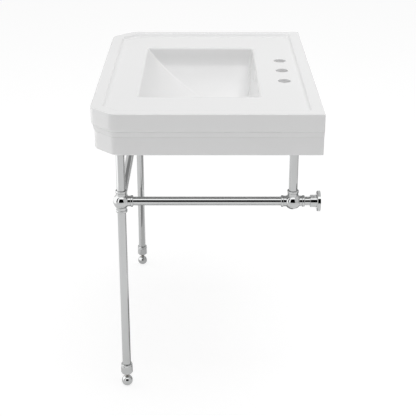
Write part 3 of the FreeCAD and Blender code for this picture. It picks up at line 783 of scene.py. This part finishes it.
def duct_surfaces(low, high):
    """Outside of the overflow duct: an upright box behind the bowl and a foot to the drain boss,
    each with rounded corners and a rounded lower edge."""
    surfaces = []
    low, high = low / MM, high / MM
    for (front, back), top in ((DUCT_UPRIGHT, high + DUCT_SUNK), (DUCT_FOOT, DUCT_FOOT_TOP)):
        corners = np.array([[
            (-DUCT_HALF, front), (DUCT_HALF, front), (DUCT_HALF, back), (-DUCT_HALF, back),
        ]]) * MM
        z = np.array((low, low + 0.3 * DUCT_EDGE, low + DUCT_EDGE, top))
        drawn = np.array((DUCT_EDGE, 0.3 * DUCT_EDGE, 0.0, 0.0))
        centre = corners.mean(1, keepdims=True)
        shrink = 1 - drawn[:, None, None] * MM / (np.abs(corners - centre).max((0, 1)))
        radii = np.full((4, 4), DUCT_CORNER * MM)
        loops = rounded_loops(centre + (corners - centre) * shrink, radii, 5, 1)
        surfaces.append(loft(lifted(loops, z * MM)))
        surfaces += [flat_face(loops[end], [], 2, z[end] * MM) for end in (0, -1)]
    return surfaces


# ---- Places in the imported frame

def centre_of(node):
    """Middle of a node's box."""
    low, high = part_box(node)
    return np.array((low + high) / 2)


def leg_places():
    """Plan position of each of the four uprights."""
    nodes = [name + "_" + side for name in ("upper_leg", "rear_riser") for side in SIDES]
    return [tuple(centre_of(node)[:2]) for node in nodes]


def box_of(node):
    """Lower corner and upper corner of a node's box, and the middle of its lower face."""
    low, high = (np.array(corner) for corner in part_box(node))
    return low, high, np.array(((low[0] + high[0]) / 2, (low[1] + high[1]) / 2, low[2]))


# ---- Frame
# Lengths in millimetres.

TUBE_WALL = 1.5
TUBE_EASE = 0.3  # broken edge of a tube's end
SOCKET = 11.55  # radius of the hole that a tube sits in
BALL_SOCKET = 11.6  # the same in a collar, which hides its end
SOCKET_MOUTH = 12.5  # radius of a collar's eased mouth
SOCKET_FLOOR = 12.0  # middle of a ball to the inner end of its sockets
COLLAR_FILLET = 0.7  # hollow between ball and neck
BEAD_EDGE = 2.2
STUD_HOLE = 6.05  # radius of the hole that a stud sits in
FERRULE_FLOOR = 12.0  # threaded thickness under the tube
THREAD_PITCH = 1.75
THREAD_DEEP = 1.0
THREAD_END = 0.8  # plain length at each end of a stud
STUD_TIP = 5.0  # radius of a stud's two ends
FOOT_FLAT = 4.5  # radius of the flat that a ball foot stands on
FOOT_NECK = 6.7  # radius at which the ball foot's round ends above
STUD_SEAT = 1.2  # middle of the ball foot up to the stud's seat


def tube_surface(node):
    """Drawn tube of a node: its section, a ring with eased edges, carried along its length."""
    low, high, _ = box_of(node)
    size = high - low
    axis = "xyz"[int(np.argmax(size))]
    radius, half = size.min() / 2, size.max() / 2
    bore, ease = radius - TUBE_WALL * MM, TUBE_EASE * MM
    profile = [
        (bore, -half), (radius - ease, -half), (radius, ease - half), (radius, half - ease),
        (radius - ease, half), (bore, half), (bore, -half),
    ]
    return [lathe(profile, (low + high) / 2, axis, 80)]


def fitting_centre(node):
    """Middle of a ball fitting: on its upright's axis, at the side rail's height."""
    side = node.split("_")[-1]
    upright = "upper_leg_" if node.startswith("front") else "rear_riser_"
    return np.array((*centre_of(upright + side)[:2], centre_of("side_rail_" + side)[2]))


def ball_surfaces(node, s):
    """Ball of a fitting, a half circle turned about Z, and its collars, each a turned profile: a
    concave fillet off the ball, the neck, a rounded bead and the tube's socket."""
    centre = fitting_centre(node)
    turn = np.radians(np.linspace(-90, 90, 49))
    ball = np.stack((s.ball * np.cos(turn), s.ball * np.sin(turn)), 1)
    surfaces = [lathe(ball, centre, "z", 96)]
    inwards = 1 if node.endswith("left") else -1
    ways = [("z", 1), ("y", 1)]
    ways += [("z", -1), ("x", inwards)] if node.startswith("front") else [("y", -1)]
    neck, bead, reach = s.neck / MM, s.bead / MM, s.reach / MM
    start, fillet, edge = reach - s.bead_long / MM, COLLAR_FILLET, BEAD_EDGE
    lift = math.sqrt((s.ball / MM + fillet) ** 2 - (neck + fillet) ** 2)
    tilt = math.degrees(math.atan2(lift, neck + fillet))
    skirt = arc((neck + fillet, lift), fillet, 180 + tilt, 180, 5)
    inside = skirt[:1] * 0.96  # the collar starts inside the ball
    low = arc((bead - edge, start + edge), edge, -90, 0, 6)
    crown = arc((bead - edge, reach - edge), edge, 0, 90, 6)
    socket = [
        (SOCKET_MOUTH, reach), (BALL_SOCKET, reach - 1.0), (BALL_SOCKET, SOCKET_FLOOR),
        (inside[0][0], SOCKET_FLOOR), inside[0],
    ]
    profile = np.concatenate((inside, skirt, [(neck, start)], low[1:], crown, socket))
    return surfaces + [lathe(profile * np.array((1, way)) * MM, centre, axis, 80) for axis, way in ways]


def ferrule_surface(node):
    """Turned foot socket: threaded collar below, cone, barrel and a rounded mouth on the tube."""
    low, high, base = box_of(node)
    radius, top = (high[0] - low[0]) / 2 / MM, (high[2] - low[2]) / MM
    cup, bead, step, lip = 4.6, 0.7, 1.1, 1.5
    profile = np.concatenate((
        [(STUD_HOLE, 0), (8.6, 0), (9.2, 0.4)],
        arc((radius - cup, 4.9), cup, -80, 0, 8),
        arc((radius - bead, top - 6.6), bead, 0, 60, 3),
        [(radius - 0.9, top - 5.4), (radius - 0.9, top - 4.8)],
        arc((radius - step, top - 3.2), step, -70, 0, 4),
        arc((radius - lip, top - lip), lip, 0, 90, 5),
        [(12.0, top), (SOCKET, top - 0.5), (SOCKET, FERRULE_FLOOR), (STUD_HOLE, FERRULE_FLOOR),
         (STUD_HOLE, 0)],
    ))
    return [lathe(profile * MM, base, "z", 80)]


def stud_surface(node, s):
    """Threaded stud: a round bar whose radius follows a triangular ridge of THREAD_PITCH."""
    low, high, base = box_of(node)
    tall = (high[2] - low[2]) / MM
    z = np.linspace(THREAD_END, tall - THREAD_END, 260)
    ridge = np.abs((z / THREAD_PITCH) % 1 - 0.5) * 2
    thread = np.stack((s.stud / MM - THREAD_DEEP * ridge, z), 1)
    profile = np.concatenate(([(0, 0), (STUD_TIP, 0)], thread, [(STUD_TIP, tall), (0, tall)]))
    return [lathe(profile * MM, base, "z", 48)]


def foot_surface(node, s):
    """Ball foot: a circle cut flat below, with a short neck round the stud above."""
    base = box_of(node)[2]
    r = s.foot / MM
    flat_level, neck_level = -math.sqrt(r * r - FOOT_FLAT ** 2), math.sqrt(r * r - FOOT_NECK ** 2)
    start = math.degrees(math.atan2(flat_level, FOOT_FLAT))
    end = math.degrees(math.acos(FOOT_NECK / r))
    profile = np.concatenate((
        [(0, flat_level), (FOOT_FLAT - 0.4, flat_level)],
        arc((0, 0), r, start, end, 48),
        [(FOOT_NECK - 0.4, neck_level + 0.1), (STUD_HOLE, r * 0.9), (STUD_HOLE, STUD_SEAT),
         (0, STUD_SEAT)],
    ))
    return [lathe(profile * MM, base - (0, 0, flat_level * MM), "z", 96)]


# ---- Studio
# Places in metres; strengths are parts of white, and what has strength 0 is black felt.

SOFTBOX, FELT = 1.7, 0.0
UPRIGHT_CARDS = (  # name, plan place of each end, lower and upper edge, strength
    ("flag behind the camera", (3.6, -2.3), (3.6, 1.7), -0.42, 3.15, FELT),
    ("strip beside the flag", (2.89, -2.15), (2.34, -2.78), -0.4, 3.0, SOFTBOX),
    ("narrow flag", (2.3, -2.82), (1.59, -3.26), -0.4, 2.8, FELT),
    # Painted shadow: a dim card that stands in reflections for the basin's shadow on the floor behind it.
    ("painted shadow behind the basin", (0.3, 0.15), (-3.0, 0.15), -0.75, -0.06, 0.5),
    ("short flag on the left", (-0.95, -1.78), (-1.4, -1.78), 0.0, 0.85, FELT),
    ("softbox at the front", (0.89, -1.8), (-1.5, -1.8), -0.72, 2.6, SOFTBOX),
)
# Painted shade of the basin's underside, seen only in reflections: the middle card hangs under the bowl,
# the outer two lie just inside the apron's edge.
UNDERSIDE_SHADE_CARDS = ((-0.38, -0.27, -0.054), (-0.27, 0.27, -0.108), (0.27, 0.38, -0.054))  # X, X, level
UNDERSIDE_SHADE_SPAN = (-0.55, -0.02)  # Y, Y
# Glow of the painted underside shade: dim, where the basin's underside lies in shade.
UNDERSIDE_SHADE_STRENGTH = 0.3
# Painted shadow of the basin on the floor, seen only in reflections; the nearer card is the darker one.
FLOOR_SHADOW_CARDS = ((-0.42, -0.05, 0.65), (-0.05, 0.33, 0.3))  # X, X, strength
FLOOR_SHADOW_SPAN = (-0.6, -0.02)
FLOOR_GAP = 0.2 * MM  # feet to the floor
CARD_GAP = 1 * MM  # the lowest foot up to the cards on the floor
FLOOR_HALF = 30.0
FLOOR_BOUNCE = 0.25  # glow of the floor in reflections
SEEN_WHITE = 0.8  # glow of the floor that the camera sees
LENS, SENSOR = 88.88, 36.0  # millimetres
LENS_SHIFT = (0.00377, -0.1022)
CAMERA_PLACE = (2.8248, -0.2956, 0.8769)
CAMERA_DIP = 21.571  # degrees under level


def flat(name, corners, material):
    """Flat quad of the studio."""
    mesh = bpy.data.meshes.new(name)
    mesh.from_pydata(corners, [], [(0, 1, 2, 3)])
    mesh.materials.append(material)
    made = linked(name, mesh)
    made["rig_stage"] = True
    return made


def card(name, corners, strength):
    """Card that only reflections see, lit like a softbox's cloth, unlit like felt, or dim as painted
    shade.

    It shows in the chrome and the glaze; the lamps do the lighting.
    """
    material = bpy.data.materials.new(name + " cloth")
    tree = blank_tree(material)
    light = add_node(tree, "ShaderNodeEmission", {"Strength": strength})
    add_node(tree, "ShaderNodeOutputMaterial", links={"Surface": light.outputs[0]})
    made = flat(name, corners, material)
    made.visible_camera = made.visible_diffuse = made.visible_shadow = False


def upright_card(name, start, end, low, high, strength):
    """Card between two plan points and two levels."""
    card(name, [(*start, low), (*end, low), (*end, high), (*start, high)], strength)


def level_card(name, low, high, level, strength):
    """Card between two plan corners at a level."""
    corners = [(*low, level), (high[0], low[1], level), (*high, level), (low[0], high[1], level)]
    card(name, corners, strength)


def area_lamp(name, watts, place, turn, size):
    """Soft rectangular lamp that lights the surfaces without showing in the chrome."""
    data = bpy.data.lights.new(name, "AREA")
    data.shape = "RECTANGLE"
    data.size, data.size_y = size
    data.energy = watts
    lamp = linked(name, data)
    lamp.location = place
    lamp.rotation_euler = [math.radians(a) for a in turn]
    lamp.visible_glossy = False
    lamp.visible_camera = False
    lamp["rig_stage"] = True


def build_floor(finishes, level):
    """Pale seamless floor, wide enough to reach the picture's edges from any side."""
    material = bpy.data.materials.new("seamless paper")
    tree = blank_tree(material)
    paper = add_node(tree, "ShaderNodeBsdfDiffuse", {"Color": finishes.floor})
    bounce = add_node(tree, "ShaderNodeEmission", {"Strength": FLOOR_BOUNCE})
    shiny = add_node(tree, "ShaderNodeAddShader", links={0: paper.outputs[0], 1: bounce.outputs[0]})
    # The camera sees an even white with about a third of the floor's own shading over it.
    faint = add_node(tree, "ShaderNodeBsdfDiffuse", {"Color": finishes.floor_seen})
    white = add_node(tree, "ShaderNodeEmission", {"Strength": SEEN_WHITE})
    seen = add_node(tree, "ShaderNodeAddShader", links={0: faint.outputs[0], 1: white.outputs[0]})
    path = add_node(tree, "ShaderNodeLightPath")
    lit = add_node(tree, "ShaderNodeMixShader", links={
        0: path.outputs["Is Diffuse Ray"], 1: shiny.outputs[0], 2: paper.outputs[0]})
    both = add_node(tree, "ShaderNodeMixShader", links={
        0: path.outputs["Is Camera Ray"], 1: lit.outputs[0], 2: seen.outputs[0]})
    add_node(tree, "ShaderNodeOutputMaterial", links={"Surface": both.outputs[0]})
    half = FLOOR_HALF
    corners = [(-half, -half, level), (half, -half, level), (half, half, level), (-half, half, level)]
    flat("floor", corners, material)


def build_sky(strength):
    """World that is white to the camera and in reflections, and dimmer as a light."""
    world = bpy.data.worlds.new("studio")
    bpy.context.scene.world = world
    tree = blank_tree(world)
    path = add_node(tree, "ShaderNodeLightPath")
    dim = add_node(tree, "ShaderNodeBackground", {"Strength": strength})
    full = add_node(tree, "ShaderNodeBackground", {"Strength": 1.0})
    pick = add_node(tree, "ShaderNodeMixShader", links={
        0: path.outputs["Is Diffuse Ray"], 1: full.outputs[0], 2: dim.outputs[0]})
    add_node(tree, "ShaderNodeOutputWorld", links={"Surface": pick.outputs[0]})


def build_camera():
    """Camera level with the photographer's eye, looking along the sink from its right side."""
    data = bpy.data.cameras.new("camera")
    data.lens = LENS
    data.sensor_width = SENSOR
    data.sensor_fit = "HORIZONTAL"
    data.shift_x, data.shift_y = LENS_SHIFT
    camera = linked("camera", data)
    camera.location = CAMERA_PLACE
    camera.rotation_euler = (RIGHT_ANGLE - math.radians(CAMERA_DIP), 0.0, RIGHT_ANGLE)
    bpy.context.scene.camera = camera


# ---- Operators and panel

class SINK_OT_basin(bpy.types.Operator):
    """Builds the china basin with its bowl, holes, underside and overflow duct"""
    bl_idname = "sink.basin"
    bl_label = "Basin"

    def execute(self, context):
        scene = context.scene
        china = vitreous_china(scene.sink_finishes)
        piece("china_basin", basin_surfaces(scene.sink_basin), china, ["basin"])
        return {"FINISHED"}


class SINK_OT_tubes(bpy.types.Operator):
    """Builds every chrome tube of the frame"""
    bl_idname = "sink.tubes"
    bl_label = "Tubes"

    def execute(self, context):
        chrome = polished_chrome(context.scene.sink_finishes, "drawn tube, chrome plated", 0.02)
        kinds = ("upper_leg", "lower_leg", "side_rail", "rear_riser", "wall_stub")
        nodes = ["towel_bar"] + [kind + "_" + side for kind in kinds for side in SIDES]
        for node in nodes:
            chrome_piece(node, tube_surface(node), chrome)
        return {"FINISHED"}


class SINK_OT_fittings(bpy.types.Operator):
    """Builds the four cast ball fittings"""
    bl_idname = "sink.fittings"
    bl_label = "Ball fittings"

    def execute(self, context):
        scene = context.scene
        chrome = polished_chrome(scene.sink_finishes, "cast brass, chrome plated", 0.06)
        for node in ["%s_ball_fitting_%s" % (end, side) for end in ("front", "rear") for side in SIDES]:
            chrome_piece(node, ball_surfaces(node, scene.sink_frame), chrome)
        return {"FINISHED"}


class SINK_OT_feet(bpy.types.Operator):
    """Builds the foot ferrules, the studs and the ball feet"""
    bl_idname = "sink.feet"
    bl_label = "Feet"

    def execute(self, context):
        scene = context.scene
        chrome = polished_chrome(scene.sink_finishes, "turned brass, chrome plated", 0.04)
        steel = plain_finish("rolled stainless steel", scene.sink_finishes.steel, {
            "Metallic": 1.0, "Roughness": 0.3}, 1.5, 0.01)
        for side in SIDES:
            piece("chrome_ferrule_" + side, ferrule_surface("foot_ferrule_" + side), chrome,
                  ["foot_ferrule_" + side])
            piece("threaded_stud_" + side, stud_surface("foot_stud_" + side, scene.sink_frame), steel,
                  ["foot_stud_" + side])
            foot = "ball_foot_" + side
            chrome_piece(foot, foot_surface(foot, scene.sink_frame), chrome)
        return {"FINISHED"}


class SINK_OT_small_parts(bpy.types.Operator):
    """Gives the flanges, plugs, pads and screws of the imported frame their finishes"""
    bl_idname = "sink.small_parts"
    bl_label = "Flanges and small parts"

    def execute(self, context):
        finishes = context.scene.sink_finishes
        chrome = polished_chrome(finishes, "spun brass, chrome plated", 0.05)
        steel = plain_finish("machined stainless steel", finishes.steel, {
            "Metallic": 1.0, "Roughness": 0.25}, 1.0, 0.01)
        nylon = plain_finish("moulded nylon", finishes.nylon, {
            "Roughness": 0.45, "IOR": 1.53}, 0.8, 0.02)
        rubber = plain_finish("moulded rubber", finishes.rubber, {
            "Roughness": 0.7, "IOR": 1.52}, 0.6, 0.03)
        finish = {
            "wall_flange": chrome, "wall_set_screw": steel, "fitting_set_screws": steel,
            "top_plug": nylon, "support_pad": rubber,
        }
        for name, node in frame["nodes"].items():
            for kind, material in finish.items():
                if kind in name:
                    node.data.materials.clear()
                    node.data.materials.append(material)
        return {"FINISHED"}


class SINK_OT_stage(bpy.types.Operator):
    """Builds the floor, the sky, the softboxes and flags, the cards of painted shade, the lamps and the
    camera
    """
    bl_idname = "sink.stage"
    bl_label = "Studio"

    def execute(self, context):
        scene = context.scene
        studio = scene.sink_studio
        build_floor(scene.sink_finishes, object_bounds()[0][2] - FLOOR_GAP)
        build_sky(studio.sky)
        for place in UPRIGHT_CARDS:
            upright_card(*place)
        level_card("softbox over the camera", (1.5, -2.3), (3.6, 1.7), 3.15, SOFTBOX)
        # Painted shade: dim cards that only reflections see stand for the basin's shaded underside.
        front, back = UNDERSIDE_SHADE_SPAN
        for left, right, level in UNDERSIDE_SHADE_CARDS:
            level_card("painted shade under the basin", (left, front), (right, back), level, UNDERSIDE_SHADE_STRENGTH)
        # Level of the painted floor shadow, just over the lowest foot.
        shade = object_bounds()[0][2] + CARD_GAP
        front, back = FLOOR_SHADOW_SPAN
        for left, right, strength in FLOOR_SHADOW_CARDS:
            level_card("painted shadow on the floor", (left, front), (right, back), shade, strength)
        # Each lamp's place and size in metres, and its turn in degrees.
        area_lamp("overhead", studio.overhead, (-0.1, 0.2, 2.6), (0, 0, 0), (2.4, 2.0))
        area_lamp("front", studio.front, (0.4, -3.0, -0.2), (90, 0, 0), (2.4, 1.0))
        area_lamp("high front", studio.high, (-0.8, -2.6, 1.8), (55, 0, -17), (2.0, 1.4))
        area_lamp("right side", studio.side, (3.0, 0.0, -0.35), (90, 0, 90), (2.4, 0.75))
        build_camera()
        scene.view_settings.view_transform = "Standard"
        return {"FINISHED"}


class SINK_PT_panel(bpy.types.Panel):
    """Sizes, finishes and build buttons of the console sink"""
    bl_label = "Console sink"
    bl_idname = "SINK_PT_panel"
    bl_space_type = "VIEW_3D"
    bl_region_type = "UI"
    bl_category = "Console sink"

    def draw(self, context):
        for group_name, group in GROUPS:
            box = self.layout.box()
            for name in group.__annotations__:
                box.prop(getattr(context.scene, group_name), name)
        for operator in OPERATORS:
            self.layout.operator(operator.bl_idname)


OPERATORS = (
    SINK_OT_basin, SINK_OT_tubes, SINK_OT_fittings, SINK_OT_feet, SINK_OT_small_parts, SINK_OT_stage,
)
GROUPS = (
    ("sink_basin", BasinSizes), ("sink_frame", FrameSizes), ("sink_finishes", Finishes),
    ("sink_studio", StudioSettings),
)


def register():
    for name, group in GROUPS:
        bpy.utils.register_class(group)
        setattr(bpy.types.Scene, name, bpy.props.PointerProperty(type=group))
    for kind in OPERATORS + (SINK_PT_panel,):
        bpy.utils.register_class(kind)


def unregister():
    for kind in reversed(OPERATORS + (SINK_PT_panel,)):
        bpy.utils.unregister_class(kind)
    for name, group in reversed(GROUPS):
        delattr(bpy.types.Scene, name)
        bpy.utils.unregister_class(group)


def main():
    register()
    bpy.ops.sink.basin()
    bpy.ops.sink.tubes()
    bpy.ops.sink.fittings()
    bpy.ops.sink.feet()
    bpy.ops.sink.small_parts()
    bpy.ops.sink.stage()


if __name__ == "__main__":
    main()
